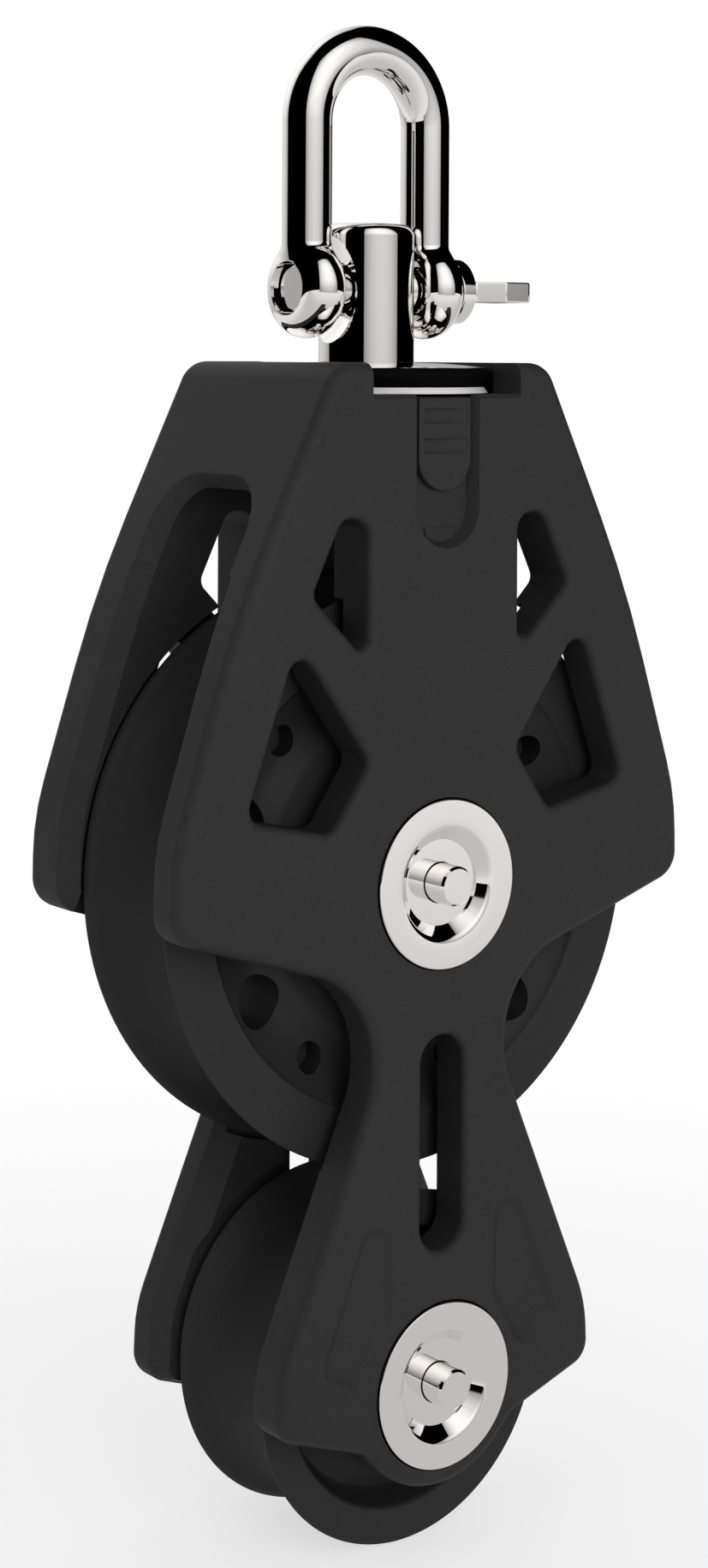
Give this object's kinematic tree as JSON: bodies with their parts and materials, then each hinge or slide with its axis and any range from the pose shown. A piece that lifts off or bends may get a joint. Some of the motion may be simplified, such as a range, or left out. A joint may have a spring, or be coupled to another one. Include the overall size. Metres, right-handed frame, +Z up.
{
  "type": "fiddle block",
  "caption": "Rigging block with a large and a small ball-bearing sheave in line in a moulded shell, hung on a tilting, swivelling shackle head with a swivel lock slider.",
  "frame": {"origin": "inside of the shackle bow's crown, on the swivel axis, where the block hangs", "axes": "+Z up along the swivel axis, +X to the right along the shackle pin towards its key tab, +Y to the rear along both axles"},
  "size_m": [0.0654, 0.0316, 0.1573],
  "materials": {
    "moulded_plastic": "fine-grained matte moulding, dark charcoal",
    "sheave_plastic": "fine-grained matte moulding, near black",
    "polished_steel": "mirror-polished stainless steel",
    "race_steel": "ground stainless steel",
    "acetal": "natural white acetal"
  },
  "bodies": {
    "shackle": {"shackle_bow": "polished_steel", "shackle_pin": "polished_steel"},
    "swivel": {"swivel_post": "polished_steel", "swivel_nut": "polished_steel", "swivel_washer": "polished_steel"},
    "shell": {"shell": "moulded_plastic", "head_plate": "polished_steel", "swivel_bush": "acetal", "upper_axle": "race_steel", "upper_front_axle_disc": "polished_steel", "upper_rear_axle_disc": "polished_steel", "upper_axle_pin": "polished_steel", "upper_inner_race": "race_steel", "upper_front_thrust_washer": "acetal", "upper_rear_thrust_washer": "acetal", "lower_axle": "race_steel", "lower_front_axle_disc": "polished_steel", "lower_rear_axle_disc": "polished_steel", "lower_axle_pin": "polished_steel", "lower_inner_race": "race_steel", "lower_front_thrust_washer": "acetal", "lower_rear_thrust_washer": "acetal"},
    "upper_sheave": {"upper_sheave": "sheave_plastic"},
    "lower_sheave": {"lower_sheave": "sheave_plastic"},
    "upper_ball_set": {"upper_ball_01": "race_steel", "upper_ball_02": "race_steel", "upper_ball_03": "race_steel", "upper_ball_04": "race_steel", "upper_ball_05": "race_steel", "upper_ball_06": "race_steel", "upper_ball_07": "race_steel", "upper_ball_08": "race_steel", "upper_ball_09": "race_steel", "upper_ball_10": "race_steel", "upper_ball_11": "race_steel", "upper_ball_12": "race_steel"},
    "lower_ball_set": {"lower_ball_01": "race_steel", "lower_ball_02": "race_steel", "lower_ball_03": "race_steel", "lower_ball_04": "race_steel", "lower_ball_05": "race_steel", "lower_ball_06": "race_steel", "lower_ball_07": "race_steel", "lower_ball_08": "race_steel", "lower_ball_09": "race_steel", "lower_ball_10": "race_steel", "lower_ball_11": "race_steel", "lower_ball_12": "race_steel"},
    "lock_slider": {"lock_slider": "moulded_plastic"}
  },
  "joints": [
    {"name": "shackle_tilt", "type": "hinge", "parent": "shackle", "child": "swivel", "pos_m": [0, 0, -0.02265], "axis": [1, 0, 0], "range_deg": [-100, 100]},
    {"name": "head_swivel", "type": "hinge", "parent": "swivel", "child": "shell", "pos_m": [0, 0, -0.02265], "axis": [0, 0, 1], "continuous": true},
    {"name": "upper_sheave_spin", "type": "hinge", "parent": "shell", "child": "upper_sheave", "pos_m": [0, 0, -0.08315], "axis": [0, 1, 0], "continuous": true},
    {"name": "lower_sheave_spin", "type": "hinge", "parent": "shell", "child": "lower_sheave", "pos_m": [0, 0, -0.13405], "axis": [0, 1, 0], "continuous": true},
    {"name": "upper_balls_roll", "type": "hinge", "parent": "shell", "child": "upper_ball_set", "pos_m": [0, 0, -0.08315], "axis": [0, 1, 0], "continuous": true},
    {"name": "lower_balls_roll", "type": "hinge", "parent": "shell", "child": "lower_ball_set", "pos_m": [0, 0, -0.13405], "axis": [0, 1, 0], "continuous": true},
    {"name": "lock_slide", "type": "slide", "parent": "shell", "child": "lock_slider", "axis": [0, 0, 1], "range_m": [-0.0047, 0]}
  ],
  "couplings": [
    {"joint": "upper_balls_roll", "follows": "upper_sheave_spin", "ratio": 0.6154},
    {"joint": "lower_balls_roll", "follows": "lower_sheave_spin", "ratio": 0.6141}
  ]
}
